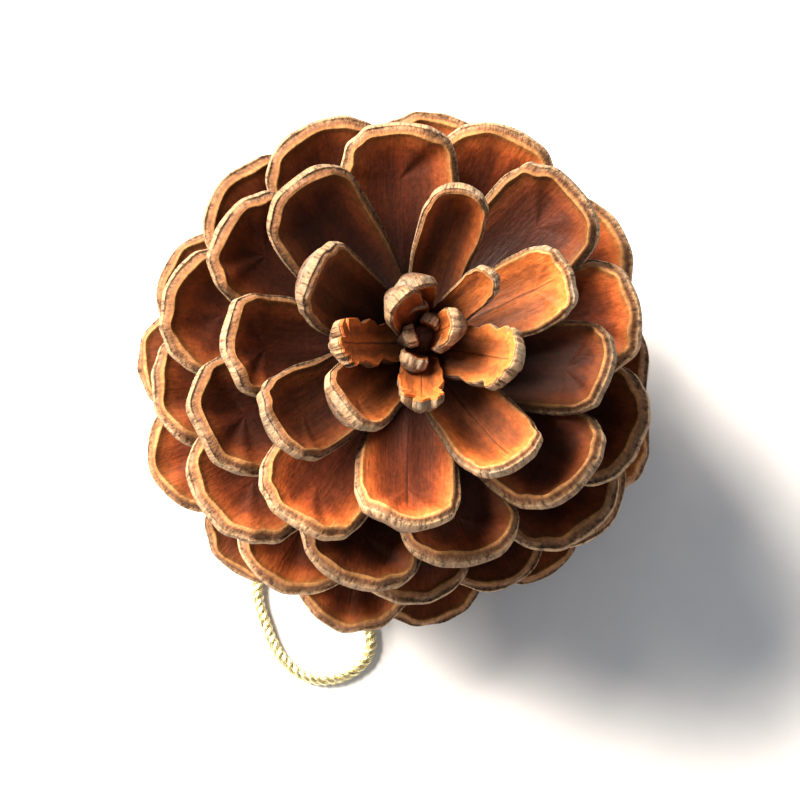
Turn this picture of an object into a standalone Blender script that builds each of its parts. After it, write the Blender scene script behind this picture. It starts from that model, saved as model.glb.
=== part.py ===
"""An open pine cone with a hanging loop of gold cord, standing on the scales of its base.

The cone is built upright about its own axis, from its scales' places on a golden-angle spiral,
and is then leaned over a little onto the scale tips that it rests on. Lengths are in metres.
"""

import math
import random

import bmesh
import bpy
import numpy as np
from mathutils import Matrix, Vector

MM = 0.001

# The spiral: scales are counted from the tip of the cone down to its stalk.
SCALE_COUNT = 90
GOLDEN_ANGLE = 137.508
FIRST_AZIMUTH = 3.0
SEED = 271

# The scales along the cone, read between these places in the count, in millimetres and degrees.
COUNTED = (0, 3, 6, 11, 16, 24, 36, 50, 64, 72, 79, 89)
ROOT_HEIGHT = (37.0, 36.0, 34.5, 32.0, 29.5, 26.0, 20.5, 14.5, 9.5, 7.3, 5.5, 3.5)
SCALE_LENGTH = (6.5, 9.6, 12.6, 16.2, 18.2, 20.2, 20.4, 21.5, 16.0, 13.0, 10.4, 3.5)
OPENING_ANGLE = (16, 32, 46, 59, 66, 73, 87, 103, 119, 124, 135, 130)
SCALE_WIDTH = (3.4, 4.9, 6.5, 8.3, 10.3, 11.8, 12.6, 12.0, 10.0, 8.6, 7.0, 4.5)
ROOT_WIDTH_SHARE = (0.62, 0.62, 0.60, 0.56, 0.50, 0.46, 0.42, 0.42, 0.42, 0.42, 0.42, 0.42)
TIP_SQUARENESS = (2.6, 2.8, 3.0, 3.2, 3.0, 2.6, 2.3, 2.2, 2.2, 2.2, 2.2, 2.2)
SCALE_BEND = (-8, -14, -22, -30, -30, -26, -20, -12, -4, 0, 0, 0)

# Scales that grew otherwise than the rule: steeper, shorter or longer, turned to one side, narrower, or
# folded more deeply. Angles are in degrees, and the rest are factors.
ODD_ANGLES = {2: 20, 3: 6, 4: 8, 5: -4, 6: -26, 7: -6, 8: 6, 9: -12, 11: -12, 13: 3, 15: -5}
ODD_SIZES = {
    6: 0.72, 16: 1.05, 17: 0.94, 20: 0.95, 23: 0.94, 25: 0.95, 31: 1.05, 33: 1.06, 36: 0.91, 44: 0.88,
}
ODD_TURNS = {2: -14, 3: -14, 5: 5, 7: -18, 9: -6, 10: 5, 31: 12, 44: 9, 46: -5}
ODD_WIDTHS = {3: 0.70, 4: 0.85, 11: 0.74}
ODD_CUPS = {11: 2.2}

# The base is oblique: on one side its scales open less far back, and the cone leans that way.
OBLIQUE_FROM = 40
OBLIQUE_TO = 60
OBLIQUE_ANGLE = 7.0
OBLIQUE_AZIMUTH = -40.0

# How far one scale may differ from the rule at random.
AZIMUTH_SPREAD = 2.5
ANGLE_SPREAD = 3.0
TWIST_SPREAD = 6.0
SIZE_SPREAD = 0.04

# One scale: a spoon with a raised rim above and a thick shield under its end.
WIDENING_POWER = 1.3
HEART = 0.72
SHIELD_START = 0.44
SHIELD_PEAK = 0.80
ROOT_SINK = 1.5 * MM
CUP_SHARE = 0.11
RIM_WIDTH_SHARE = 0.11
MOST_RIM_SHARE = 0.6
RIM_DROP_SHARE = 0.045
EDGE_THICKNESS = 0.7 * MM
ROOT_THICKNESS = 1.7 * MM
BODY_THICKNESS = 1.5 * MM
SHIELD_THICKNESS_SHARE = 0.29
LEAST_SHIELD_THICKNESS = 1.8 * MM
SIDE_STEPS = 2
TIP_STEPS = 4

# The woody axis, from the stalk's broken end to the tip: height and radius in millimetres.
AXIS_SIDES = 12
AXIS_PROFILE = (
    (-0.6, 1.6), (0.8, 1.9), (2.0, 3.0), (4.0, 4.0), (14.0, 4.0),
    (24.0, 3.3), (32.0, 2.4), (37.0, 1.6), (39.5, 0.8),
)

# How the cone rests on three of its scales, whose tips are worn flat there.
LEAN = 6.5
LEAN_AZIMUTH = -28.0
BASE_PLACE = Vector((-1.1, 1.0, 2.8)) * MM

# The cord, from one end beside the stalk, out over the surface and back to the other end, in millimetres.
CORD_DIAMETER = 1.1 * MM
CORD_POINTS = 27
CORD_ROUTE = (
    (-0.5, -2.2, 3.1), (-0.7, -3.4, 2.0), (-1.3, -5.2, 1.0), (-1.9, -7.5, 0.6), (-2.2, -11.0, 0.6),
    (-2.7, -15.0, 0.6), (-2.5, -18.0, 0.6), (-2.2, -20.5, 0.6), (-2.1, -22.7, 0.6), (-3.0, -24.3, 0.6),
    (-4.8, -25.4, 0.6), (-6.8, -25.7, 0.6), (-8.7, -25.2, 0.6), (-10.4, -23.8, 0.6), (-11.5, -22.0, 0.6),
    (-12.2, -20.1, 0.6), (-12.8, -18.2, 0.6), (-12.9, -15.9, 0.6), (-11.9, -13.2, 0.6), (-9.9, -10.8, 0.6),
    (-7.5, -8.4, 0.6), (-5.4, -6.3, 0.7), (-3.9, -4.6, 1.2), (-2.9, -3.2, 2.1), (-2.5, -2.2, 3.1),
)


def scales():
    """The scales' places and sizes, from the tip of the cone to its stalk."""
    draw = random.Random(SEED)
    found = []
    for n in range(SCALE_COUNT):
        azimuth = FIRST_AZIMUTH + GOLDEN_ANGLE * n + draw.uniform(-AZIMUTH_SPREAD, AZIMUTH_SPREAD)
        azimuth += ODD_TURNS.get(n, 0)
        oblique = OBLIQUE_ANGLE * np.interp(n, (OBLIQUE_FROM, OBLIQUE_TO), (0, 1))
        side = math.cos(math.radians(azimuth - OBLIQUE_AZIMUTH))
        angle = np.interp(n, COUNTED, OPENING_ANGLE) + draw.uniform(-ANGLE_SPREAD, ANGLE_SPREAD)
        angle += ODD_ANGLES.get(n, 0)
        size = (1 + draw.uniform(-SIZE_SPREAD, SIZE_SPREAD)) * ODD_SIZES.get(n, 1)
        height = np.interp(n, COUNTED, ROOT_HEIGHT) * MM
        found.append({
            "azimuth": math.radians(azimuth),
            "height": height,
            "radius": axis_radius(height) - ROOT_SINK,
            "length": np.interp(n, COUNTED, SCALE_LENGTH) * MM * size + ROOT_SINK,
            "angle": math.radians(angle - oblique * side),
            "bend": math.radians(np.interp(n, COUNTED, SCALE_BEND)),
            "width": np.interp(n, COUNTED, SCALE_WIDTH) * MM * size * ODD_WIDTHS.get(n, 1),
            "cup": CUP_SHARE * ODD_CUPS.get(n, 1),
            "twist": math.radians(draw.uniform(-TWIST_SPREAD, TWIST_SPREAD)),
            "root": np.interp(n, COUNTED, ROOT_WIDTH_SHARE),
            "squareness": np.interp(n, COUNTED, TIP_SQUARENESS),
        })
    return found


def axis_radius(height):
    heights, radii = zip(*AXIS_PROFILE)
    return np.interp(height / MM, heights, radii) * MM


def half_width(scale, u):
    """A scale's half width along its length, as a share of its widest."""
    rise = min(u / HEART, 1)
    return scale["root"] + (1 - scale["root"]) * math.sin(math.pi / 2 * rise) ** WIDENING_POWER


def outline(scale):
    """Points once round a scale's free edge: share of the length, share of the half width."""
    power = 2 / scale["squareness"]
    side = [(HEART * i / SIDE_STEPS, half_width(scale, HEART * i / SIDE_STEPS)) for i in range(SIDE_STEPS)]
    tip = []
    for i in range(TIP_STEPS // 2 + 1):
        turn = math.pi * i / TIP_STEPS
        out = math.sin(turn) ** power
        across = max(math.cos(turn), 0) ** power
        tip.append((HEART + (1 - HEART) * out, across))
    left = [(u, -v) for u, v in side + tip[:-1]]
    right = [(u, v) for u, v in reversed(side + tip[:-1])]
    return left + [tip[-1]] + right


def place(scale, u, side, lift):
    """The point at share u of the length, side metres across and lift metres above the scale's midline."""
    start = scale["angle"] - scale["bend"] / 2
    turned = scale["bend"] * u / 2
    chord = scale["length"] * u * np.sinc(turned / math.pi)
    here = start + 2 * turned
    twist = scale["twist"] * u
    side, lift = (
        side * math.cos(twist) - lift * math.sin(twist),
        side * math.sin(twist) + lift * math.cos(twist),
    )
    out = scale["radius"] + chord * math.sin(start + turned) - lift * math.cos(here)
    up = scale["height"] + chord * math.cos(start + turned) + lift * math.sin(here)
    azimuth = scale["azimuth"]
    return Vector((
        out * math.cos(azimuth) - side * math.sin(azimuth),
        out * math.sin(azimuth) + side * math.cos(azimuth),
        up,
    ))


def scale_mesh(scale):
    """One closed scale: its upper face with a rim, its edge, and the shield under its end."""
    made = bmesh.new()
    half, length = scale["width"] / 2, scale["length"]
    cup = scale["cup"] * scale["width"]
    rim_width = RIM_WIDTH_SHARE * scale["width"]
    drop = RIM_DROP_SHARE * scale["width"]
    shield = max(SHIELD_THICKNESS_SHARE * scale["width"], LEAST_SHIELD_THICKNESS)

    def raised(u, v):
        return cup * (v ** 2 + max(u - HEART, 0) / (1 - HEART)) * min(u / HEART, 1)

    edge = outline(scale)
    last = len(edge) - 1
    steps = SIDE_STEPS
    centre = [made.verts.new(place(scale, HEART * i / steps, 0, 0)) for i in range(steps + 1)]
    below = ((0, ROOT_THICKNESS), (SHIELD_START, BODY_THICKNESS), (SHIELD_PEAK, shield))
    under = [made.verts.new(place(scale, u, 0, -thickness)) for u, thickness in below]
    rim, top, low = [], [], []
    for u, v in edge:
        heart = min(u, HEART)
        reach = math.hypot((u - heart) * length, v * half)
        inner = 1 - min(rim_width / reach, MOST_RIM_SHARE)
        inner_u, inner_v = heart + (u - heart) * inner, v * inner
        lift = raised(u, v)
        rim.append(made.verts.new(place(scale, inner_u, inner_v * half, lift)))
        top.append(made.verts.new(place(scale, u, v * half, lift - drop)))
        low.append(made.verts.new(place(scale, u, v * half, lift - drop - EDGE_THICKNESS)))

    def spine(line, j):
        return line[min(j, last - j, steps)]

    for j in range(last):
        made.faces.new((top[j], top[j + 1], rim[j + 1], rim[j]))
        made.faces.new((low[j + 1], low[j], top[j], top[j + 1])[::-1])
        for line, ring, flip in ((centre, rim, 1), (under, low, -1)):
            here, there = spine(line, j), spine(line, j + 1)
            corners = [ring[j], ring[j + 1], there] + ([here] if here is not there else [])
            made.faces.new(corners[::flip])
    made.faces.new((low[0], top[0], rim[0], centre[0], under[0])[::-1])
    made.faces.new((under[0], centre[0], rim[last], top[last], low[last])[::-1])
    bmesh.ops.triangulate(made, faces=made.faces)
    bmesh.ops.recalc_face_normals(made, faces=made.faces)
    mesh = bpy.data.meshes.new("scale")
    made.to_mesh(mesh)
    made.free()
    return mesh


def axis_mesh():
    """The turned woody axis, closed at both ends."""
    made = bmesh.new()
    rings = []
    for height, radius in AXIS_PROFILE:
        ring = []
        for i in range(AXIS_SIDES):
            turn = 2 * math.pi * i / AXIS_SIDES
            point = Vector((radius * math.cos(turn), radius * math.sin(turn), height)) * MM
            ring.append(made.verts.new(point))
        rings.append(ring)
    for lower, upper in zip(rings, rings[1:]):
        for i in range(AXIS_SIDES):
            j = (i + 1) % AXIS_SIDES
            made.faces.new((lower[i], lower[j], upper[j], upper[i]))
    made.faces.new(rings[0][::-1])
    made.faces.new(rings[-1])
    mesh = bpy.data.meshes.new("cone")
    made.to_mesh(mesh)
    made.free()
    return mesh


def smooth(route, count):
    """Evenly spaced points along a smooth curve through the route."""
    points = [Vector(point) * MM for point in route]
    padded = [2 * points[0] - points[1]] + points + [2 * points[-1] - points[-2]]
    fine = []
    for a, b, c, d in zip(padded, padded[1:], padded[2:], padded[3:]):
        for t in np.arange(0, 1, 0.1):
            bend = a * (2 * t ** 2 - t - t ** 3) + b * (2 - 5 * t ** 2 + 3 * t ** 3)
            fine.append((bend + c * (t + 4 * t ** 2 - 3 * t ** 3) + d * (t ** 3 - t ** 2)) / 2)
    fine = np.array(fine + [points[-1]])
    run = np.concatenate([[0], np.cumsum(np.linalg.norm(np.diff(fine, axis=0), axis=1))])
    wanted = np.linspace(0, run[-1], count)
    return [Vector(np.interp(at, run, axis) for axis in fine.T) for at in wanted]


def lie():
    """The matrix that leans the upright cone over and lifts it onto the surface."""
    towards = math.radians(LEAN_AZIMUTH)
    about = Vector((-math.sin(towards), math.cos(towards), 0))
    return Matrix.Translation(BASE_PLACE) @ Matrix.Rotation(math.radians(LEAN), 4, about)


def material(name, colour, roughness, metallic=0.0):
    made = bpy.data.materials.new(name)
    made.use_nodes = True
    shader = made.node_tree.nodes["Principled BSDF"]
    shader.inputs["Base Color"].default_value = (*colour, 1)
    shader.inputs["Roughness"].default_value = roughness
    shader.inputs["Metallic"].default_value = metallic
    return made


def add(name, data, finish):
    made = bpy.data.objects.new(name, data)
    bpy.context.scene.collection.objects.link(made)
    if finish:
        data.materials.append(finish)
    return made


def apply_modifiers(obj):
    """Bakes the object's modifiers into its mesh."""
    graph = bpy.context.evaluated_depsgraph_get()
    baked = bpy.data.meshes.new_from_object(obj.evaluated_get(graph))
    obj.modifiers.clear()
    obj.data = baked


def islands(made):
    """The groups of faces that are joined by edges."""
    left = set(made.faces)
    found = []
    while left:
        waiting = [left.pop()]
        island = []
        while waiting:
            face = waiting.pop()
            island.append(face)
            near = {other for edge in face.edges for other in edge.link_faces} & left
            left -= near
            waiting.extend(near)
        found.append(island)
    return found


def keep_outer_surface(mesh):
    """Fills the hollows that the fusing sealed, and drops loose scraps."""
    made = bmesh.new()
    made.from_mesh(mesh)
    found = sorted(islands(made), key=len)
    for island in found[:-1]:
        bmesh.ops.delete(made, geom=island, context="FACES")
    made.to_mesh(mesh)
    made.free()


def wear_flat(mesh):
    """Cuts off what would be below the surface, which leaves a small flat on each tip there."""
    made = bmesh.new()
    made.from_mesh(mesh)
    geometry = made.verts[:] + made.edges[:] + made.faces[:]
    cut = bmesh.ops.bisect_plane(
        made, geom=geometry, plane_co=(0, 0, 0), plane_no=(0, 0, 1), clear_inner=True
    )
    rims = [part for part in cut["geom_cut"] if isinstance(part, bmesh.types.BMEdge)]
    bmesh.ops.edgeloop_fill(made, edges=rims)
    made.to_mesh(mesh)
    made.free()


def build_cone(finish):
    """The axis with every scale fused to it."""
    cone = add("cone", axis_mesh(), finish)
    repeats = bpy.data.collections.new("scales")
    bpy.context.scene.collection.children.link(repeats)
    for scale in scales():
        repeats.objects.link(bpy.data.objects.new("scale", scale_mesh(scale)))
    fuse = cone.modifiers.new("fuse", "BOOLEAN")
    fuse.operation = "UNION"
    fuse.operand_type = "COLLECTION"
    fuse.collection = repeats
    fuse.solver = "EXACT"
    apply_modifiers(cone)
    for obj in list(repeats.objects):
        bpy.data.objects.remove(obj)
    bpy.data.collections.remove(repeats)
    keep_outer_surface(cone.data)
    cone.data.transform(lie())
    wear_flat(cone.data)
    return cone


def build_cord(finish):
    """The cord as a round tube along its route. Its ends stop just short of the wood."""
    curve = bpy.data.curves.new("cord_loop", "CURVE")
    curve.dimensions = "3D"
    curve.bevel_depth = CORD_DIAMETER / 2
    curve.bevel_resolution = 2
    curve.use_fill_caps = True
    line = curve.splines.new("POLY")
    line.points.add(CORD_POINTS - 1)
    for knot, point in zip(line.points, smooth(CORD_ROUTE, CORD_POINTS)):
        knot.co = (*point, 1)
    return add("cord_loop", curve, finish)


def main():
    for obj in list(bpy.data.objects):
        bpy.data.objects.remove(obj)
    bark = material("scale_wood", (0.36, 0.17, 0.07), 0.6)
    gold = material("gold_cord", (0.80, 0.62, 0.22), 0.35, 0.8)
    build_cone(bark)
    build_cord(gold)


main()
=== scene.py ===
"""An open pine cone with a hanging loop of gold cord, finished for its picture.

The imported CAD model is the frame. The cone's spiral rule is repeated here with many more faces, so that
every scale gets its pale rim, its pitted end and its fibres. Lengths are in metres, but tables, routes and
the steps along them are in millimetres. Angles are in degrees and colours in sRGB.
"""

import math
import random
from types import SimpleNamespace

import bpy
import numpy as np
from mathutils import Matrix, Vector


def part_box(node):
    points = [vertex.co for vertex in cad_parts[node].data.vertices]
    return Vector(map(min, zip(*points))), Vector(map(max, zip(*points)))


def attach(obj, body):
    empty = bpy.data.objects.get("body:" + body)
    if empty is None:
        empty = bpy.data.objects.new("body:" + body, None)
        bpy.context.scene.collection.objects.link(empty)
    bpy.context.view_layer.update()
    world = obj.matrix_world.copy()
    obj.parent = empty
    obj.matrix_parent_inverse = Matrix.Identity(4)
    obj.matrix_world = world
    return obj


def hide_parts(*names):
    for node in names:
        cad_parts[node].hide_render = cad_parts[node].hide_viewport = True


MM = 0.001

# The camera's place, and the width that it sees at its target.
CAMERA_ELEVATION = 78
CAMERA_TARGET = Vector((0.7, -2.5, 20.0)) * MM
CAMERA_DISTANCE = 0.55
CAMERA_CLIP = (0.05, 20)
FRAME_WIDTH = 0.0745

# The cone's rule, as the CAD model has it. Scales are counted from the tip down to the stalk, and the
# tables give the values of the scales in COUNTED.
SCALE_COUNT = 90
GOLDEN_ANGLE = 137.508
FIRST_AZIMUTH = 3.0
SEED = 271
COUNTED = (0, 3, 6, 11, 16, 24, 36, 50, 64, 72, 79, 89)
ROOT_HEIGHT = (37.0, 36.0, 34.5, 32.0, 29.5, 26.0, 20.5, 14.5, 9.5, 7.3, 5.5, 3.5)
SCALE_LENGTH = (6.5, 9.6, 12.6, 16.2, 18.2, 20.2, 20.4, 21.5, 16.0, 13.0, 10.4, 3.5)
OPENING_ANGLE = (16, 32, 46, 59, 66, 73, 87, 103, 119, 124, 135, 130)
SCALE_WIDTH = (3.4, 4.9, 6.5, 8.3, 10.3, 11.8, 12.6, 12.0, 10.0, 8.6, 7.0, 4.5)
ROOT_WIDTH_SHARE = (0.62, 0.62, 0.60, 0.56, 0.50, 0.46, 0.42, 0.42, 0.42, 0.42, 0.42, 0.42)
TIP_SQUARENESS = (2.6, 2.8, 3.0, 3.2, 3.0, 2.6, 2.3, 2.2, 2.2, 2.2, 2.2, 2.2)
SCALE_BEND = (-8, -14, -22, -30, -30, -26, -20, -12, -4, 0, 0, 0)

# Scales that stray from the rule, by number: degrees further open, shares of size, degrees further round
# the axis, shares of width and shares of cup.
ODD_ANGLES = {2: 20, 3: 6, 4: 8, 5: -4, 6: -26, 7: -6, 8: 6, 9: -12, 11: -12, 13: 3, 15: -5}
ODD_SIZES = {
    6: 0.72, 16: 1.05, 17: 0.94, 20: 0.95, 23: 0.94, 25: 0.95, 31: 1.05, 33: 1.06, 36: 0.91, 44: 0.88,
}
ODD_TURNS = {2: -14, 3: -14, 5: 5, 7: -18, 9: -6, 10: 5, 31: 12, 44: 9, 46: -5}
ODD_WIDTHS = {3: 0.70, 4: 0.85, 11: 0.74}
ODD_CUPS = {11: 2.2}

# The lower scales open less on the side of OBLIQUE_AZIMUTH and more on the other.
OBLIQUE_FROM = 40
OBLIQUE_TO = 60
OBLIQUE_ANGLE = 7.0
OBLIQUE_AZIMUTH = -40.0

# Seeded differences between scales.
AZIMUTH_SPREAD = 2.5
ANGLE_SPREAD = 3.0
TWIST_SPREAD = 6.0
SIZE_SPREAD = 0.04
LEAST_SQUARENESS_SHARE = 0.88

# One scale's form. HEART is where it is widest, as a share of its length. Its end is a thick shield: at
# least LEAST_SHIELD_THICKNESS, or NARROW_SHIELD_SHARE of its width where that is less.
HEART = 0.72
WIDENING_POWER = 1.3
SHIELD_START = 0.44
SHIELD_PEAK = 0.80
SHIELD_THICKNESS_SHARE = 0.29
LEAST_SHIELD_THICKNESS = 1.8 * MM
NARROW_SHIELD_SHARE = 0.5
ROOT_SINK = 1.5 * MM
ROOT_THICKNESS = 1.7 * MM
BODY_THICKNESS = 1.5 * MM
EDGE_THICKNESS = 0.7 * MM
CUP_SHARE = 0.11
MOST_RIM_SHARE = 0.6
SEEN_RIM_SHARE = 0.074
RIM_DROP_SHARE = 0.045

# The axis as (height, radius), and how the cone lies.
AXIS_PROFILE = (
    (-0.6, 1.6), (0.8, 1.9), (2.0, 3.0), (4.0, 4.0), (14.0, 4.0),
    (24.0, 3.3), (32.0, 2.4), (37.0, 1.6), (39.5, 0.8),
)
AXIS_SIDES = 40
AXIS_STEP = 0.8
AXIS_RADIUS_SHARE = 0.95
AXIS_BUMP_SHARE = 0.04
STALK_RAGGEDNESS = 0.25 * MM
STALK_HOLLOW = 0.5 * MM
STALK_EDGE_BROKEN = 0.8
LEAN = 6.5
LEAN_AZIMUTH = -28.0
BASE_PLACE = Vector((-1.1, 1.0, 2.8)) * MM

# The tiny closed scales at the very tip: the first one's value, and the change to each next one.
BUD_COUNT = 5
BUD_HEIGHT = (38.4, -0.4)
BUD_AZIMUTH = (60, GOLDEN_ANGLE)
BUD_LENGTH = (3.2, 0.35)
BUD_ANGLE = (4, 5)
BUD_WIDTH = (1.9, 0.2)
BUD_BEND = -10
BUD_SINK = 0.6 * MM
BUD_ROOT_WIDTH_SHARE = 0.62
BUD_SQUARENESS = 2.6

# The cord's route, as the CAD model has it, and the share of each of its stretches to a curve point.
CORD_DIAMETER = 1.1 * MM
CORD_ROUTE = (
    (-0.5, -2.2, 3.1), (-0.7, -3.4, 2.0), (-1.3, -5.2, 1.0), (-1.9, -7.5, 0.6), (-2.2, -11.0, 0.6),
    (-2.7, -15.0, 0.6), (-2.5, -18.0, 0.6), (-2.2, -20.5, 0.6), (-2.1, -22.7, 0.6), (-3.0, -24.3, 0.6),
    (-4.8, -25.4, 0.6), (-6.8, -25.7, 0.6), (-8.7, -25.2, 0.6), (-10.4, -23.8, 0.6), (-11.5, -22.0, 0.6),
    (-12.2, -20.1, 0.6), (-12.8, -18.2, 0.6), (-12.9, -15.9, 0.6), (-11.9, -13.2, 0.6), (-9.9, -10.8, 0.6),
    (-7.5, -8.4, 0.6), (-5.4, -6.3, 0.7), (-3.9, -4.6, 1.2), (-2.9, -3.2, 2.1), (-2.5, -2.2, 3.1),
)
ROUTE_STEP = 0.05
STRANDS = 3
STRAND_PITCH = 2.3 * MM
STRAND_SIDES = 8
STEPS_A_TURN = 16
# How far apart the strands lie in the yarn's noise, and how far its filaments slant from side to side.
STRANDS_APART = 9
FILAMENT_SLANT = 0.12

# One scale's rings, as zones: from its midline (0) out to the pale bead (1), on to its edge (2), round
# under its end (3) and back to the midline below (4). An edge ring also has its share of the edge's
# thickness, and a lower ring its share of the way in.
UPPER_RINGS = (
    0, 0.08, 0.18, 0.30, 0.42, 0.54, 0.66, 0.76, 0.84, 0.90, 0.95, 1.0,
    1.08, 1.17, 1.27, 1.38, 1.50, 1.64, 1.78, 1.90, 1.97,
)
EDGE_RINGS = ((2.0, 0.16), (2.04, 0.50), (2.08, 0.84))
LOWER_RINGS = (
    (2.16, 0.03), (2.28, 0.08), (2.42, 0.15), (2.56, 0.24), (2.70, 0.34), (2.85, 0.45),
    (3.0, 0.56), (3.2, 0.68), (3.5, 0.80), (3.75, 0.90), (4.0, 1.0),
)
LAST_ZONE = 4.0
# Steps along each side of a scale's edge, and round its tip.
SIDE_STEPS = 14
TIP_STEPS = 40
# The pieces that the scales are made in: name, first scale, and the one after the last.
PIECES = (
    ("scales_upper", 0, 32), ("scales_middle", 32, 61), ("scales_lower", 61, 90),
    ("scales_bud", 90, 95),
)

# Wear and relief, on a scale as wide as WIDEST. FLANK is where along the length the full rim and the wear
# set in. A wave has its least and most turns round the edge, and its count of sines.
LOOK_SEED = 58
WIDEST = 12.2 * MM
FLANK = (0.10, 0.60)
RAGGED_COUNTED = (0, 8, 16)
RAGGED_SHARE = (0.030, 0.022, 0.012)
RAGGED_WAVE = (4, 13, 4)
RIM_LEAST_SHARE = 0.35
RIM_SPREAD = 0.16
RIM_WAVE = (2, 9, 4)
EDGE_WAVE_HEIGHT = 0.18 * MM
EDGE_WAVE = (2, 7, 3)
FACE_POWER = 1.6
CUP_TIP_POWER = 1.5
UNDERSIDE_POWER = 1.5

# Each relief's height, and its middle and width: outward from the bead, in zones, or as shares of the
# half width (across) and of the length (along).
BEAD_HEIGHT = (0.20 * MM, 0.34 * MM)
BEAD_OUTWARD = (0.24 * MM, 0.30 * MM)
BEAD_LEAST_SHARE = 0.4
GROOVE_DEPTH = 0.12 * MM
GROOVE_OUTWARD = (0.70 * MM, 0.14 * MM)
LIP_HEIGHT = 0.10 * MM
LIP_ZONES = (1.92, 0.12)
HOLLOW_DEPTH = 0.22 * MM
HOLLOW_ACROSS = (0.36, 0.20)
HOLLOW_ALONG = (0.46, 0.22)
KEEL_HEIGHT = 0.14 * MM
KEEL_ACROSS = (0, 0.07)
KEEL_ALONG = (0.35, 0.25)
# The low boss under a scale's outer end.
BOSS_HEIGHT = 0.35 * MM
BOSS_PLACE = 0.90
BOSS_LENGTH = 0.9 * MM
BOSS_WIDTH = 1.26 * MM

# Scales whose ends are torn, and how deep the tears go as a share of their size. Where they go deeper
# than LEAST_BARE_TEAR the rim is gone, and the bare wood has the colour of TORN_ZONE.
TORN_SCALES = {2: 0.22, 4: 0.24, 5: 0.10}
TEAR_WAVE = (5, 19, 5)
TEAR_MIDDLE = 0.4
TEAR_MOST = 2
TORN_RIM_SHARE = 0.35
LEAST_BARE_TEAR = 0.15
TORN_ZONE = 0.90

# Each scale's own tone, from LEAST_TINT to 1. On the side round SHADED_SIDE_AZIMUTH they lose up to
# SHADED_SIDE_SHARE of it as painted shade, and less above scale FIRST_FULL_SHADE. The light scales and the
# torn ones have a tone of 1, and the dark ones DARK_TINT; the listed light and dark scales are partly
# painted light and shade.
LEAST_TINT = 0.35
FIRST_FULL_SHADE = 9
SHADED_SIDE_AZIMUTH = 135.0
SHADED_SIDE_WIDTH = 55.0
SHADED_SIDE_SHARE = 0.9
LIGHT_AND_LIT_SCALES = (8, 10, 15)
DARK_AND_SHADED_SCALES = (12, 13, 16, 18, 23, 25, 26, 28, 31, 36, 44)
DARK_TINT = 0.08

# The wood's colours by zone, and where seeds, splits and weather changed them.
WOOD_COLOURS = (
    (0.0, (98, 41, 20)), (0.40, (122, 53, 24)), (0.68, (150, 68, 29)), (0.904, (168, 86, 40)),
    (0.972, (160, 94, 46)), (1.048, (170, 120, 70)), (1.34, (158, 108, 64)), (1.448, (122, 78, 47)),
    (1.568, (118, 76, 48)), (1.70, (134, 97, 64)), (1.88, (140, 104, 72)), (1.968, (166, 134, 100)),
    (2.048, (152, 118, 86)), (2.20, (110, 78, 52)), (2.72, (92, 63, 41)), (3.04, (58, 37, 24)),
    (LAST_ZONE, (40, 26, 17)),
)
TIP_ORANGE = (158, 84, 34)
PRINT_COLOUR = (52, 26, 14)
SPLIT_COLOUR = (44, 22, 12)
WEATHERED_COLOUR = (112, 102, 86)
SPECK_COLOUR = (74, 44, 26)
# The axis's bark and broken core, and the yarn, by their noise. The yarn's darkest and palest colours are
# partly painted shade between the filaments and painted glints. The table lies between two tones.
BARK_COLOURS = ((0.3, (46, 28, 18)), (0.55, (84, 50, 30)), (0.75, (120, 76, 44)))
CORE_COLOURS = ((0.3, (128, 88, 50)), (0.6, (190, 150, 100)), (0.8, (214, 182, 134)))
PATCH_COLOUR = (70, 44, 28)
YARN_COLOURS_AND_GLINTS = ((0.28, (120, 104, 56)), (0.46, (222, 208, 148)), (0.72, (255, 252, 234)))
TABLE_COLOURS = ((240, 240, 242), (248, 248, 249))
# How far the pits move the wood's zones, its gloss, and how high each material's relief is.
ZONE_JITTER = 0.22
WOOD_SPECULAR = 0.26
WOOD_BUMP = 0.22 * MM
BARK_BUMP = 0.3 * MM
YARN_BUMP = 0.10 * MM
# How far apart the scales lie in the wood's noise, and how much of their relief moves them through it.
SCALES_APART = 7.3
DEPTH_SHARE = 0.7

FLOOR_HALF_WIDTH = 1.5
LIT_PLACE = Vector((0, 0, 20)) * MM
KEY_COLOUR = (1.0, 0.90, 0.78)
ROOM_COLOUR = (0.90, 0.95, 1.0, 1)
ROOM_STRENGTH = 0.37


def set_camera():
    """Looks steeply down along +Y, as the photograph does, with a long lens."""
    elevation = math.radians(CAMERA_ELEVATION)
    back = Vector((0, -math.cos(elevation), math.sin(elevation)))
    data = bpy.data.cameras.new("camera")
    camera = bpy.data.objects.new("camera", data)
    bpy.context.scene.collection.objects.link(camera)
    data.lens = data.sensor_width * CAMERA_DISTANCE / FRAME_WIDTH
    data.clip_start, data.clip_end = CAMERA_CLIP
    camera.location = CAMERA_TARGET + back * CAMERA_DISTANCE
    camera.rotation_mode = "QUATERNION"
    camera.rotation_quaternion = (-back).to_track_quat("-Z", "Y")
    bpy.context.scene.camera = camera


def smooth_step(low, high, value):
    """0 below low and 1 above high, with a soft change between them."""
    share = np.clip((value - low) / (high - low), 0, 1)
    return share * share * (3 - 2 * share)


def hump(value, centre, width):
    """1 at centre, falling off softly to both sides."""
    return np.exp(-(((value - centre) / width) ** 2))


def from_least(least, share):
    """A share of 0 to 1 as a value of least to 1."""
    return least + (1 - least) * share


def linear(colour):
    """An sRGB colour of 0 to 255 as the linear RGBA that shaders take."""
    shares = [c / 255 for c in colour]
    return tuple(c / 12.92 if c <= 0.04045 else ((c + 0.055) / 1.055) ** 2.4 for c in shares) + (1,)


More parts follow.
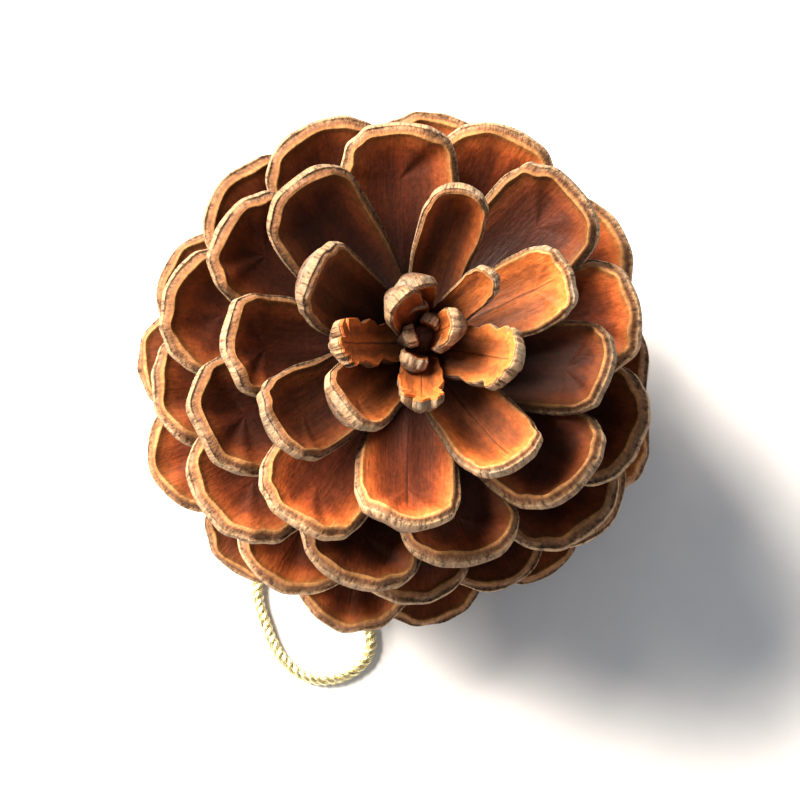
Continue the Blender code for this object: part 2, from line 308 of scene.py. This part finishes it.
class Look:
    """A material's nodes, made with short calls. Each value is a number or another node's output."""

    def __init__(self, name):
        self.material = bpy.data.materials.new(name)
        self.material.use_nodes = True
        self.tree = self.material.node_tree
        self.shader = self.tree.nodes["Principled BSDF"]

    def feed(self, socket, value):
        """Links a node's output to a socket, or sets a plain value on it."""
        if isinstance(value, bpy.types.NodeSocket):
            self.tree.links.new(value, socket)
        else:
            socket.default_value = value

    def node(self, kind, inputs, output=0, **settings):
        """A new node with its inputs fed, as the output asked for."""
        made = self.tree.nodes.new(kind)
        for name, value in settings.items():
            setattr(made, name, value)
        for key, value in inputs.items():
            self.feed(made.inputs[key], value)
        return made.outputs[output]

    def math(self, operation, a, b=0.0):
        return self.node("ShaderNodeMath", {0: a, 1: b}, operation=operation)

    def product(self, first, *others):
        """All the values multiplied."""
        for other in others:
            first = self.math("MULTIPLY", first, other)
        return first

    def attribute(self, name, output="Vector"):
        """The values that a mesh has at its points under this name."""
        return self.node("ShaderNodeAttribute", {}, output, attribute_name=name)

    def part(self, vector, axis):
        """One number of a vector's three."""
        return self.node("ShaderNodeSeparateXYZ", {0: vector}, axis)

    def noise(self, place, scale, detail=3.0, roughness=0.55):
        values = {"Vector": place, "Scale": scale, "Detail": detail, "Roughness": roughness}
        return self.node("ShaderNodeTexNoise", values)

    def stretched_noise(self, place, factors, detail=3.0, roughness=0.55):
        """Noise that is finer by factors along each axis."""
        stretched = self.node("ShaderNodeVectorMath", {0: place, 1: factors}, operation="MULTIPLY")
        return self.noise(stretched, 1.0, detail, roughness)

    def spread(self, value, low, high, to_low=0.0, to_high=1.0):
        """value mapped softly from low..high to to_low..to_high."""
        values = {"Value": value, "From Min": low, "From Max": high, "To Min": to_low, "To Max": to_high}
        return self.node("ShaderNodeMapRange", values, interpolation_type="SMOOTHSTEP")

    def between(self, share, a, b):
        """The number at a share of the way from a to b."""
        return self.node("ShaderNodeMix", {0: share, 2: a, 3: b})

    def mix(self, share, a, b, blend="MIX"):
        """The colour at a share of the way from a to b."""
        made = self.tree.nodes.new("ShaderNodeMix")
        made.data_type = "RGBA"
        made.blend_type = blend
        for index, value in ((0, share), (6, a), (7, b)):
            self.feed(made.inputs[index], value)
        return made.outputs[2]

    def ramp(self, value, stops):
        """A colour ramp over value, from (place, sRGB colour) stops."""
        made = self.tree.nodes.new("ShaderNodeValToRGB")
        self.feed(made.inputs[0], value)
        elements = made.color_ramp.elements
        while len(elements) > 1:
            elements.remove(elements[-1])
        for index, (place, colour) in enumerate(stops):
            element = elements[0] if index == 0 else elements.new(place)
            element.position = place
            element.color = linear(colour)
        return made.outputs[0]

    def bump(self, height, distance):
        """A normal for relief that is distance high where height is 1."""
        return self.node("ShaderNodeBump", {"Height": height, "Distance": distance, "Strength": 1.0})

    def finish(self, **sockets):
        """The material, with the shader's sockets fed by their short names."""
        names = {
            "colour": "Base Color", "roughness": "Roughness", "normal": "Normal", "metallic": "Metallic",
            "specular": "Specular IOR Level",
        }
        for name, value in sockets.items():
            self.feed(self.shader.inputs[names[name]], value)
        return self.material


def wood_fields(look):
    """What the scales' material reads: each point's zone and place, its scale's habits, and noise."""
    zone = look.attribute("zone", "Fac")
    fibre = look.attribute("fibre")
    grown = look.attribute("grown")
    pits = look.stretched_noise(fibre, (2.2, 2.2, 1.0), 4.0, 0.65)
    jitter = look.product(look.math("SUBTRACT", pits, 0.5), ZONE_JITTER)
    return SimpleNamespace(
        zone=zone,
        moved=look.math("ADD", zone, jitter),
        across=look.part(fibre, 0),
        tint=look.part(grown, 0),
        age=look.part(grown, 1),
        along=look.part(grown, 2),
        streaks=look.stretched_noise(fibre, (3.2, 0.28, 1.0), 4.0, 0.6),
        fine=look.stretched_noise(fibre, (9.0, 0.8, 1.0)),
        blotches=look.stretched_noise(fibre, (0.32, 0.30, 1.0)),
        grain=look.stretched_noise(fibre, (2.6, 1.3, 1.0), 4.0, 0.65),
        pits=pits,
    )


def face_colour(look, wood):
    """The wood's colours from face to back, with what time and the seeds left on the face."""
    stops = [(zone / LAST_ZONE, colour) for zone, colour in WOOD_COLOURS]
    base = look.ramp(look.math("DIVIDE", wood.moved, LAST_ZONE), stops)
    # The scales round the tip of the cone are a brighter orange inside.
    tip_orange = look.product(look.spread(wood.age, 0.17, 0.07), look.spread(wood.moved, 1.0, 0.9), 0.8)
    base = look.mix(tip_orange, base, linear(TIP_ORANGE))
    # The two seeds' wings leave dark prints either side of the midline.
    beside = look.math("ABSOLUTE", look.math("ADD", wood.across, look.product(wood.blotches, 0.3)))
    printed = look.product(look.spread(beside, 0.15, 0.9), look.spread(wood.moved, 0.80, 0.58), 0.45)
    base = look.mix(printed, base, linear(PRINT_COLOUR))
    # A dark split strays along the midline of the lighter, drier scales.
    strayed = look.product(look.math("SUBTRACT", wood.streaks, 0.5), 0.5)
    off_split = look.math("ABSOLUTE", look.math("ADD", wood.across, strayed))
    dry = look.spread(wood.tint, 0.64, 0.84)
    split = look.product(look.spread(off_split, 0.13, 0.03), look.spread(wood.moved, 0.80, 0.60), dry, 0.7)
    return look.mix(split, base, linear(SPLIT_COLOUR))


def end_colour(look, wood, base):
    """Grey weathering and dark specks on the scales' ends, greyer near the tip of the cone."""
    ended = look.product(look.spread(wood.moved, 1.4, 1.7), look.spread(wood.moved, 3.0, 2.6))
    young = look.spread(wood.age, 0.22, 0.05, 0.35, 0.9)
    weathered = look.product(ended, look.spread(wood.blotches, 0.35, 0.7), young)
    base = look.mix(weathered, base, linear(WEATHERED_COLOUR))
    speck = look.product(ended, look.spread(wood.pits, 0.47, 0.36), 0.75)
    return look.mix(speck, base, linear(SPECK_COLOUR))


def wood_tone(look, wood):
    """How light the wood is: fibres, blotches, painted shade at the roots and lower rows, and each scale's
    own tone.
    """
    streaks = look.spread(wood.streaks, 0.3, 0.7, 0.93, 1.05)
    tone = look.product(
        look.math("ADD", streaks, look.spread(wood.fine, 0.3, 0.7, -0.05, 0.05)),
        look.spread(wood.grain, 0.32, 0.68, 0.80, 1.18),
        look.spread(wood.blotches, 0.3, 0.7, 0.82, 1.14),
        # Painted shade: the faces darken towards their roots, deep between the scales.
        look.spread(wood.along, 0.16, 0.90, 0.17, 1.14),
    )
    # A scale's own tone, partly painted shade and light, and painted shade on the lower rows darken its
    # face more than its rim and its end, which have specks.
    row_shade = look.spread(wood.age, 0.36, 0.62, 1.0, 0.55)
    face = look.product(look.spread(wood.tint, 0.0, 1.0, 0.34, 1.28), row_shade)
    rest = look.spread(wood.tint, 0.0, 1.0, 0.74, 1.14)
    specks = look.spread(wood.pits, 0.36, 0.62, 0.74, 1.16)
    rimmed = look.spread(wood.zone, 0.98, 1.10)
    return look.product(tone, look.between(rimmed, face, rest), look.between(rimmed, 1.0, specks))


def scale_look():
    """Woody scales: orange inner face, dark seed prints, pale bead, pitted grey-tan end, dark back."""
    look = Look("scale_wood")
    wood = wood_fields(look)
    base = end_colour(look, wood, face_colour(look, wood))
    tone = wood_tone(look, wood)
    grey = look.node("ShaderNodeCombineColor", {0: tone, 1: tone, 2: tone})
    colour = look.mix(1.0, base, grey, "MULTIPLY")
    rough = look.spread(wood.zone, 0.9, 1.3, 0.62, 0.80)
    relief = look.math("ADD", look.product(wood.streaks, 0.30), look.product(wood.grain, 0.25))
    relief = look.product(relief, look.spread(wood.zone, 1.0, 1.4, 1.0, 0.2))
    ends = look.product(wood.pits, look.spread(wood.zone, 1.2, 1.5, 0.2, 1.3))
    normal = look.bump(look.math("ADD", relief, ends), WOOD_BUMP)
    return look.finish(colour=colour, roughness=rough, normal=normal, specular=WOOD_SPECULAR)


def axis_look():
    """The woody axis: dark fibrous bark, and a pale broken end at the stalk."""
    look = Look("axis_wood")
    place = look.node("ShaderNodeTexCoord", {}, "Object")
    fibres = look.stretched_noise(place, (1400.0, 1400.0, 160.0), 4.0, 0.6)
    patches = look.noise(place, 350.0)
    bark, core = look.ramp(fibres, BARK_COLOURS), look.ramp(fibres, CORE_COLOURS)
    colour = look.mix(look.attribute("broken", "Fac"), bark, core)
    colour = look.mix(look.spread(patches, 0.45, 0.7, 0.0, 0.4), colour, linear(PATCH_COLOUR))
    rough = look.spread(patches, 0.3, 0.7, 0.65, 0.85)
    return look.finish(colour=colour, roughness=rough, normal=look.bump(fibres, BARK_BUMP))


def gold_look():
    """Metallised yarn: fine filaments round each strand that glint one by one, coloured partly with painted
    glints and shade.
    """
    look = Look("gold_yarn")
    yarn = look.attribute("yarn")
    filaments = look.stretched_noise(yarn, (6.0, 1.3, 1.0), 3.0, 0.6)
    glints = look.stretched_noise(yarn, (2.0, 2.6, 1.0), 2.0)
    colour = look.ramp(filaments, YARN_COLOURS_AND_GLINTS)
    rough = look.spread(glints, 0.35, 0.65, 0.18, 0.42)
    height = look.math("ADD", filaments, look.product(glints, 0.6))
    return look.finish(colour=colour, roughness=rough, metallic=0.92, normal=look.bump(height, YARN_BUMP))


def floor_look():
    """A pale matt table."""
    look = Look("pale_table")
    place = look.node("ShaderNodeTexCoord", {}, "Object")
    grain = look.noise(place, 220.0, 4.0)
    colour = look.mix(grain, *(linear(tone) for tone in TABLE_COLOURS))
    return look.finish(colour=colour, roughness=0.7)


def add_mesh(name, points, faces, look, values=()):
    """A smooth-shaded mesh object with the named point values its material reads."""
    mesh = bpy.data.meshes.new(name)
    mesh.from_pydata(points.tolist(), [], faces)
    for label, kind, numbers in values:
        field = mesh.attributes.new(label, kind, "POINT")
        key = "value" if kind == "FLOAT" else "vector"
        field.data.foreach_set(key, np.asarray(numbers, np.float32).ravel())
    mesh.shade_smooth()
    mesh.materials.append(look)
    mesh.validate()
    made = bpy.data.objects.new(name, mesh)
    bpy.context.scene.collection.objects.link(made)
    return made


def axis_radius(height):
    """The axis's radius at a height, both in metres."""
    heights, radii = zip(*AXIS_PROFILE)
    return np.interp(height / MM, heights, radii) * MM


def scales():
    """The scales' places and sizes, from the tip of the cone to its stalk."""
    draw = random.Random(SEED)
    found = []
    for n in range(SCALE_COUNT):
        azimuth = FIRST_AZIMUTH + GOLDEN_ANGLE * n + draw.uniform(-AZIMUTH_SPREAD, AZIMUTH_SPREAD)
        azimuth += ODD_TURNS.get(n, 0)
        oblique = OBLIQUE_ANGLE * np.interp(n, (OBLIQUE_FROM, OBLIQUE_TO), (0, 1))
        side = math.cos(math.radians(azimuth - OBLIQUE_AZIMUTH))
        angle = np.interp(n, COUNTED, OPENING_ANGLE) + draw.uniform(-ANGLE_SPREAD, ANGLE_SPREAD)
        angle += ODD_ANGLES.get(n, 0)
        size = (1 + draw.uniform(-SIZE_SPREAD, SIZE_SPREAD)) * ODD_SIZES.get(n, 1)
        height = np.interp(n, COUNTED, ROOT_HEIGHT) * MM
        found.append({
            "number": n,
            "azimuth": math.radians(azimuth),
            "height": height,
            "radius": axis_radius(height) - ROOT_SINK,
            "length": np.interp(n, COUNTED, SCALE_LENGTH) * MM * size + ROOT_SINK,
            "angle": math.radians(angle - oblique * side),
            "bend": math.radians(np.interp(n, COUNTED, SCALE_BEND)),
            "width": np.interp(n, COUNTED, SCALE_WIDTH) * MM * size * ODD_WIDTHS.get(n, 1),
            "cup": CUP_SHARE * ODD_CUPS.get(n, 1),
            "twist": math.radians(draw.uniform(-TWIST_SPREAD, TWIST_SPREAD)),
            "root": np.interp(n, COUNTED, ROOT_WIDTH_SHARE),
            "squareness": np.interp(n, COUNTED, TIP_SQUARENESS),
        })
    return found


def bud_scales():
    """The tiny closed scales round the very tip, numbered back from the tip's first scale."""
    found = []
    for k in range(BUD_COUNT):
        height, azimuth, length, angle, width = (
            first + change * k
            for first, change in (BUD_HEIGHT, BUD_AZIMUTH, BUD_LENGTH, BUD_ANGLE, BUD_WIDTH)
        )
        found.append({
            "number": -1 - k,
            "azimuth": math.radians(azimuth),
            "height": height * MM,
            "radius": axis_radius(height * MM) - BUD_SINK,
            "length": length * MM,
            "angle": math.radians(angle),
            "bend": math.radians(BUD_BEND),
            "width": width * MM,
            "cup": CUP_SHARE,
            "twist": 0,
            "root": BUD_ROOT_WIDTH_SHARE,
            "squareness": BUD_SQUARENESS,
        })
    return found


def place(scale, u, side, lift):
    """The points at share u of the length, side metres across and lift metres above the midline."""
    start = scale["angle"] - scale["bend"] / 2
    turned = scale["bend"] * u / 2
    chord = scale["length"] * u * np.sinc(turned / np.pi)
    here = start + 2 * turned
    twist = scale["twist"] * u
    side, lift = (
        side * np.cos(twist) - lift * np.sin(twist),
        side * np.sin(twist) + lift * np.cos(twist),
    )
    out = scale["radius"] + chord * np.sin(start + turned) - lift * np.cos(here)
    up = scale["height"] + chord * np.cos(start + turned) + lift * np.sin(here)
    azimuth = scale["azimuth"]
    return np.stack([
        out * math.cos(azimuth) - side * math.sin(azimuth),
        out * math.sin(azimuth) + side * math.cos(azimuth),
        up,
    ], axis=-1)


def half_width(scale, u):
    """The share of the half width at share u of the length, up to the heart."""
    rise = min(u / HEART, 1)
    return from_least(scale["root"], math.sin(math.pi / 2 * rise) ** WIDENING_POWER)


def free_edge(scale, squareness):
    """Points once round a scale's free edge: share of the length, share of the half width."""
    sides = [HEART * i / SIDE_STEPS for i in range(SIDE_STEPS)]
    half = [(u, half_width(scale, u)) for u in sides]
    for i in range(TIP_STEPS // 2 + 1):
        turn = math.pi * i / TIP_STEPS
        out = math.sin(turn) ** (2 / squareness)
        across = max(math.cos(turn), 0) ** (2 / squareness)
        half.append((from_least(HEART, out), across))
    return np.array([(u, -v) for u, v in half] + [(u, v) for u, v in reversed(half[:-1])]).T


def wave(turns, draw, lowest, highest, count):
    """A gentle random wave over turns, the share of the way round a scale's edge."""
    total = np.zeros_like(turns)
    for _ in range(count):
        total += math.sqrt(1 / count) * np.sin(
            2 * np.pi * (draw.uniform(lowest, highest) * turns + draw.random())
        )
    return total


def scale_edge(scale, draw):
    """A scale's free edge as it wore: its points, where its bead runs, and how high it stands."""
    length, width, size = scale["length"], scale["width"], scale["width"] / WIDEST
    u, v = free_edge(scale, scale["squareness"] * draw.uniform(LEAST_SQUARENESS_SHARE, 1))
    turns = np.linspace(0, 1, len(u))
    flank = smooth_step(*FLANK, u)
    heart = np.minimum(u, HEART)
    ragged = np.interp(scale["number"], RAGGED_COUNTED, RAGGED_SHARE)
    worn = 1 - ragged * flank * (1 + wave(turns, draw, *RAGGED_WAVE))
    torn = TORN_SCALES.get(scale["number"], 0)
    if torn:
        worn -= torn * flank * np.clip(TEAR_MIDDLE + wave(turns, draw, *TEAR_WAVE), 0, TEAR_MOST)
    u, v = heart + (u - heart) * worn, v * worn
    reach = np.hypot((u - heart) * length, v * width / 2)
    rim = SEEN_RIM_SHARE * width * from_least(RIM_LEAST_SHARE, flank)
    rim *= 1 + RIM_SPREAD * wave(turns, draw, *RIM_WAVE)
    rim *= TORN_RIM_SHARE if torn else 1
    tip = np.maximum(u - HEART, 0) / (1 - HEART)
    risen = np.sin(np.pi / 2 * np.minimum(u / HEART, 1))
    return SimpleNamespace(
        u=u, v=v, heart=heart, flank=flank, reach=reach,
        bead_at=1 - np.minimum(rim / reach, MOST_RIM_SHARE),
        raised=scale["cup"] * width * (v ** 2 + tip ** CUP_TIP_POWER) * risen,
        waved=EDGE_WAVE_HEIGHT * size * wave(turns, draw, *EDGE_WAVE) * flank,
        bead_height=draw.uniform(*BEAD_HEIGHT) * size,
    )


def face_relief(edge, size, zone, outward, u, v):
    """The height of a scale's bead, groove and lip, and of the seeds' hollows and the keel between them."""
    lift = edge.bead_height * hump(outward, *BEAD_OUTWARD) * from_least(BEAD_LEAST_SHARE, edge.flank)
    lift -= GROOVE_DEPTH * size * hump(outward, *GROOVE_OUTWARD) * edge.flank
    lift += LIP_HEIGHT * size * hump(zone, *LIP_ZONES) * edge.flank
    lift -= HOLLOW_DEPTH * size * hump(np.abs(v), *HOLLOW_ACROSS) * hump(u, *HOLLOW_ALONG)
    lift += KEEL_HEIGHT * size * hump(v, *KEEL_ACROSS) * hump(u, *KEEL_ALONG)
    return lift


def upper_rings(scale, edge):
    """The rings of a scale's face and rim: share of the length, share of the half width, lift."""
    size = scale["width"] / WIDEST
    rings = []
    for zone in UPPER_RINGS:
        inside = min(zone, 1)
        share = zone * edge.bead_at if zone <= 1 else from_least(edge.bead_at, zone - 1)
        u, v = edge.heart + (edge.u - edge.heart) * share, edge.v * share
        outward = (share - edge.bead_at) * edge.reach / size
        lift = edge.raised * inside ** FACE_POWER
        lift -= RIM_DROP_SHARE * scale["width"] * smooth_step(0, 1, zone - 1)
        lift += face_relief(edge, size, zone, outward, u, v)
        rings.append((u, v, lift + edge.waved * inside))
    return rings


def under_rings(scale, edge):
    """The rings round a scale's edge and back along its underside to the midline."""
    length, width, size = scale["length"], scale["width"], scale["width"] / WIDEST
    top = edge.raised - RIM_DROP_SHARE * width
    low = top - EDGE_THICKNESS
    rings = [(edge.u, edge.v, top - EDGE_THICKNESS * share + edge.waved) for _, share in EDGE_RINGS]
    least = min(LEAST_SHIELD_THICKNESS, NARROW_SHIELD_SHARE * width)
    shield = max(SHIELD_THICKNESS_SHARE * width, least)
    spine = SHIELD_PEAK * np.minimum(edge.u / HEART, 1)
    deepest = -np.interp(spine, (0, SHIELD_START, SHIELD_PEAK), (ROOT_THICKNESS, BODY_THICKNESS, shield))
    for _, share in LOWER_RINGS:
        u, v = edge.u + (spine - edge.u) * share, edge.v * (1 - share)
        boss = hump(u * length, BOSS_PLACE * length, BOSS_LENGTH) * hump(v * width / 2, 0, BOSS_WIDTH)
        lift = low + (deepest - low) * (1 - (1 - share) ** UNDERSIDE_POWER) + edge.waved * (1 - share)
        rings.append((u, v, lift - BOSS_HEIGHT * size * boss))
    return rings


def ring_zones(scale):
    """The zone of each of a scale's rings. Where its end is torn off, no rim is left."""
    torn = TORN_SCALES.get(scale["number"], 0)
    bare = TORN_ZONE if torn > LEAST_BARE_TEAR else LAST_ZONE
    return [min(zone, bare) for zone in UPPER_RINGS] + [zone for zone, _ in EDGE_RINGS + LOWER_RINGS]


def scale_grid(scale, draw):
    """One scale as a grid of points, ring by ring, with each point's zone, place along the fibres and
    share of the length."""
    edge = scale_edge(scale, draw)
    rings = upper_rings(scale, edge) + under_rings(scale, edge)
    u, v, lift = (np.array(part) for part in zip(*rings))
    side = v * scale["width"] / 2
    zones = np.repeat(np.array(ring_zones(scale))[:, None], u.shape[1], axis=1)
    depth = SCALES_APART * scale["number"] + DEPTH_SHARE * lift / MM
    fibre = np.stack([side / MM, u * scale["length"] / MM, depth], axis=-1)
    return place(scale, u, side, lift), zones, fibre, u


def grid_faces(rows, columns):
    """Faces of a closed scale: its grid, with the midlines welded, and a cap at the root."""
    index = np.arange(rows * columns).reshape(rows, columns)
    fold = np.minimum(np.minimum(np.arange(columns), columns - 1 - np.arange(columns)), SIDE_STEPS)
    index[0] = index[0][fold]
    index[-1] = index[-1][fold]
    faces = []
    for r in range(rows - 1):
        for k in range(columns - 1):
            ring = (index[r, k], index[r, k + 1], index[r + 1, k + 1], index[r + 1, k])
            corners = [int(i) for j, i in enumerate(ring) if i != ring[j - 1]]
            if len(corners) > 2:
                faces.append(corners[::-1])
    root = list(index[:, 0]) + list(index[-2:0:-1, -1])
    faces.append([int(i) for i in root][::-1])
    used = np.unique(index)
    renumber = np.zeros(rows * columns, int)
    renumber[used] = np.arange(len(used))
    return used, [[int(renumber[i]) for i in face] for face in faces]


def lie():
    """The matrix that leans the upright cone over and lifts it onto the surface."""
    towards = math.radians(LEAN_AZIMUTH)
    about = Vector((-math.sin(towards), math.cos(towards), 0))
    return Matrix.Translation(BASE_PLACE) @ Matrix.Rotation(math.radians(LEAN), 4, about)


def laid(points, box):
    """Points of the upright cone as it rests, kept inside the CAD model's box."""
    matrix = np.array(lie())
    return np.clip(points @ matrix[:3, :3].T + matrix[:3, 3], *box)


def painted_side_shade(scale):
    """The share of its tone that a scale loses to painted shade: most in the middle of the shaded side,
    none on buds.
    """
    away = scale["azimuth"] - math.radians(SHADED_SIDE_AZIMUTH)
    away = math.degrees(math.atan2(math.sin(away), math.cos(away)))
    row_shade = np.clip(scale["number"] / FIRST_FULL_SHADE, 0, 1)
    return float(SHADED_SIDE_SHARE * row_shade * hump(away, 0, SHADED_SIDE_WIDTH))


def own_tone(scale, draw):
    """How light a scale's wood is, from 0 to 1: drawn for every scale, then given for some."""
    tone = from_least(LEAST_TINT, draw.random()) * (1 - painted_side_shade(scale))
    # The listed light scales are partly painted light, and the listed dark ones partly painted shade.
    if scale["number"] in LIGHT_AND_LIT_SCALES or scale["number"] in TORN_SCALES:
        tone = 1
    return DARK_TINT if scale["number"] in DARK_AND_SHADED_SCALES else tone


def build_scales(look, box):
    """The scales as a few pieces, with the values that their material reads at each point."""
    grown = scales() + bud_scales()
    draw = random.Random(LOOK_SEED)
    rows = len(UPPER_RINGS) + len(EDGE_RINGS) + len(LOWER_RINGS)
    columns = 2 * SIDE_STEPS + TIP_STEPS + 1
    used, faces = grid_faces(rows, columns)
    made = []
    for name, first, end in PIECES:
        points, zones, fibres, habits, all_faces = [], [], [], [], []
        for index, scale in enumerate(grown[first:end]):
            at, zone, fibre, along = scale_grid(scale, draw)
            habit = np.ones((len(used), 3))
            # The tone holds painted shade on one side, and painted light and shade on the listed scales.
            habit[:, 0] = own_tone(scale, draw)
            habit[:, 1] = scale["number"] / SCALE_COUNT
            habit[:, 2] = along.ravel()[used]
            habits.append(habit)
            points.append(laid(at.reshape(-1, 3)[used], box))
            zones.append(zone.ravel()[used])
            fibres.append(fibre.reshape(-1, 3)[used])
            start = len(used) * index
            all_faces += [[i + start for i in face] for face in faces]
        values = (
            ("zone", "FLOAT", np.concatenate(zones)),
            ("fibre", "FLOAT_VECTOR", np.concatenate(fibres)),
            ("grown", "FLOAT_VECTOR", np.concatenate(habits)),
        )
        made.append(add_mesh(name, np.concatenate(points), all_faces, look, values))
    return made


def tube_faces(start, rings, sides):
    """The side faces of a tube whose points run ring by ring from start."""
    faces = []
    for r in range(rings - 1):
        here, there = start + r * sides, start + (r + 1) * sides
        for k in range(sides):
            j = (k + 1) % sides
            faces.append((here + k, here + j, there + j, there + k))
    return faces


def build_axis(look, box):
    """The woody axis between the scales, with a ragged broken end at the stalk."""
    bottom, top = AXIS_PROFILE[0][0], AXIS_PROFILE[-1][0]
    heights = np.append(np.arange(bottom, top, AXIS_STEP), top) * MM
    draw = random.Random(LOOK_SEED)
    bumps = np.array([[draw.uniform(-1, 1) for _ in range(AXIS_SIDES)] for _ in heights])
    turn = np.linspace(0, 2 * np.pi, AXIS_SIDES, endpoint=False)
    radii = axis_radius(heights)[:, None] * (AXIS_RADIUS_SHARE + AXIS_BUMP_SHARE * bumps)
    up = np.repeat(heights[:, None], AXIS_SIDES, 1)
    points = np.stack([radii * np.cos(turn), radii * np.sin(turn), up], axis=-1)
    points[0, :, 2] += STALK_RAGGEDNESS * np.abs(bumps[0])
    ends = [(0, 0, heights[0] + STALK_HOLLOW), (0, 0, heights[-1])]
    points = np.concatenate([points.reshape(-1, 3), ends])
    faces = tube_faces(0, len(heights), AXIS_SIDES)
    last_ring = (len(heights) - 1) * AXIS_SIDES
    for k in range(AXIS_SIDES):
        j = (k + 1) % AXIS_SIDES
        faces.append((len(points) - 2, j, k))
        faces.append((len(points) - 1, last_ring + k, last_ring + j))
    broken = np.zeros(len(points))
    broken[:AXIS_SIDES] = STALK_EDGE_BROKEN
    broken[-2] = 1
    return add_mesh("axis", laid(points, box), faces, look, (("broken", "FLOAT", broken),))


def smooth_route(route, count):
    """Evenly spaced points along a smooth curve through the route, and the curve's length."""
    points = [np.array(point) * MM for point in route]
    padded = [2 * points[0] - points[1]] + points + [2 * points[-1] - points[-2]]
    fine = []
    for a, b, c, d in zip(padded, padded[1:], padded[2:], padded[3:]):
        for t in np.arange(0, 1, ROUTE_STEP):
            bend = a * (2 * t ** 2 - t - t ** 3) + b * (2 - 5 * t ** 2 + 3 * t ** 3)
            fine.append((bend + c * (t + 4 * t ** 2 - 3 * t ** 3) + d * (t ** 3 - t ** 2)) / 2)
    fine = np.array(fine + [points[-1]])
    run = np.concatenate([[0], np.cumsum(np.linalg.norm(np.diff(fine, axis=0), axis=1))])
    wanted = np.linspace(0, run[-1], count)
    return np.stack([np.interp(wanted, run, axis) for axis in fine.T], axis=-1), run[-1]


def carried_frames(line):
    """Two directions across the line at each point, carried along it without spin."""
    ahead = np.gradient(line, axis=0)
    ahead /= np.linalg.norm(ahead, axis=1)[:, None]
    first = np.cross(ahead[0], (0, 0, 1))
    first /= np.linalg.norm(first)
    across = [first]
    for way in ahead[1:]:
        kept = across[-1] - way * np.dot(across[-1], way)
        across.append(kept / np.linalg.norm(kept))
    across = np.array(across)
    return across, np.cross(ahead, across)


def strand_points(line, run, strand):
    """One strand's rings of points, twisted round the cord's line, and each point's place in the yarn."""
    thick = CORD_DIAMETER / (1 + 2 / math.sqrt(3))
    offset = thick / math.sqrt(3)
    across, above = carried_frames(line)
    turn = 2 * np.pi * (run / STRAND_PITCH + strand / STRANDS)
    middle = line + offset * (np.cos(turn)[:, None] * across + np.sin(turn)[:, None] * above)
    one, other = carried_frames(middle)
    count = np.arange(STRAND_SIDES)
    cosines, sines = np.cos(count * 2 * np.pi / STRAND_SIDES), np.sin(count * 2 * np.pi / STRAND_SIDES)
    rings = middle[:, None] + thick / 2 * (
        cosines[None, :, None] * one[:, None] + sines[None, :, None] * other[:, None]
    )
    yarn = np.stack(np.broadcast_arrays(
        cosines[None, :] + STRANDS_APART * strand,
        run[:, None] / MM + FILAMENT_SLANT * count[None, :],
        sines[None, :],
    ), axis=-1)
    return rings.reshape(-1, 3), yarn.reshape(-1, 3)


def build_cord(look):
    """Three metallised strands twisted together along the cord's route."""
    _, length = smooth_route(CORD_ROUTE, 2)
    rings = int(length / STRAND_PITCH * STEPS_A_TURN) + 1
    line, _ = smooth_route(CORD_ROUTE, rings)
    run = np.linspace(0, length, rings)
    points, yarn, faces = [], [], []
    for strand in range(STRANDS):
        ring_points, places = strand_points(line, run, strand)
        points.append(ring_points)
        yarn.append(places)
        start = strand * len(ring_points)
        end = start + len(ring_points)
        faces += tube_faces(start, rings, STRAND_SIDES)
        faces.append(tuple(range(start, start + STRAND_SIDES))[::-1])
        faces.append(tuple(range(end - STRAND_SIDES, end)))
    values = (("yarn", "FLOAT_VECTOR", np.concatenate(yarn)),)
    cord = add_mesh("cord_loop_twisted", np.concatenate(points), faces, look, values)
    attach(cord, "root")
    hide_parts("cord_loop")
    return cord


def build_floor():
    """A pale table top that the cone stands on."""
    wide = FLOOR_HALF_WIDTH
    corners = np.array([(-wide, -wide, 0), (wide, -wide, 0), (wide, wide, 0), (-wide, wide, 0)])
    add_mesh("floor", corners, [(0, 1, 2, 3)], floor_look())


def add_light(name, azimuth, elevation, distance, size, power, colour):
    """A square soft light that faces the cone. Azimuth is the side it shines from: 0 is +X, 90 is +Y."""
    turn, rise = math.radians(azimuth), math.radians(elevation)
    way = Vector((math.cos(turn) * math.cos(rise), math.sin(turn) * math.cos(rise), math.sin(rise)))
    data = bpy.data.lights.new(name, "AREA")
    data.size = size
    data.energy = power
    data.color = colour
    light = bpy.data.objects.new(name, data)
    bpy.context.scene.collection.objects.link(light)
    light.location = LIT_PLACE + way * distance
    light.rotation_mode = "QUATERNION"
    light.rotation_quaternion = (-way).to_track_quat("-Z", "Y")


def set_light():
    """A soft key from behind on the left, and a dim even room."""
    add_light("key", azimuth=146, elevation=38, distance=0.8, size=0.58, power=46.0, colour=KEY_COLOUR)
    world = bpy.data.worlds.new("room")
    bpy.context.scene.world = world
    world.use_nodes = True
    background = world.node_tree.nodes["Background"]
    background.inputs["Color"].default_value = ROOM_COLOUR
    background.inputs["Strength"].default_value = ROOM_STRENGTH
    bpy.context.scene.view_settings.view_transform = "Standard"


def build_cone(box):
    """The scales and the axis, in place of the CAD model's cone and inside its box."""
    for piece in build_scales(scale_look(), box) + [build_axis(axis_look(), box)]:
        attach(piece, "root")
        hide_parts("cone")


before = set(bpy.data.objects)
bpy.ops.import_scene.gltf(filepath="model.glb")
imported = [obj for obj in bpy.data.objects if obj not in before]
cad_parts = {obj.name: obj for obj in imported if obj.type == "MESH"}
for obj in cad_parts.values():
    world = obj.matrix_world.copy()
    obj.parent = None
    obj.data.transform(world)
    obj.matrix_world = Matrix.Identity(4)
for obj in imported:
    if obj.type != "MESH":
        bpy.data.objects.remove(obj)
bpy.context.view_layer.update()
cone_box = [np.array(corner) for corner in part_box("cone")]
set_camera()
build_cord(gold_look())
build_cone(cone_box)
build_floor()
set_light()
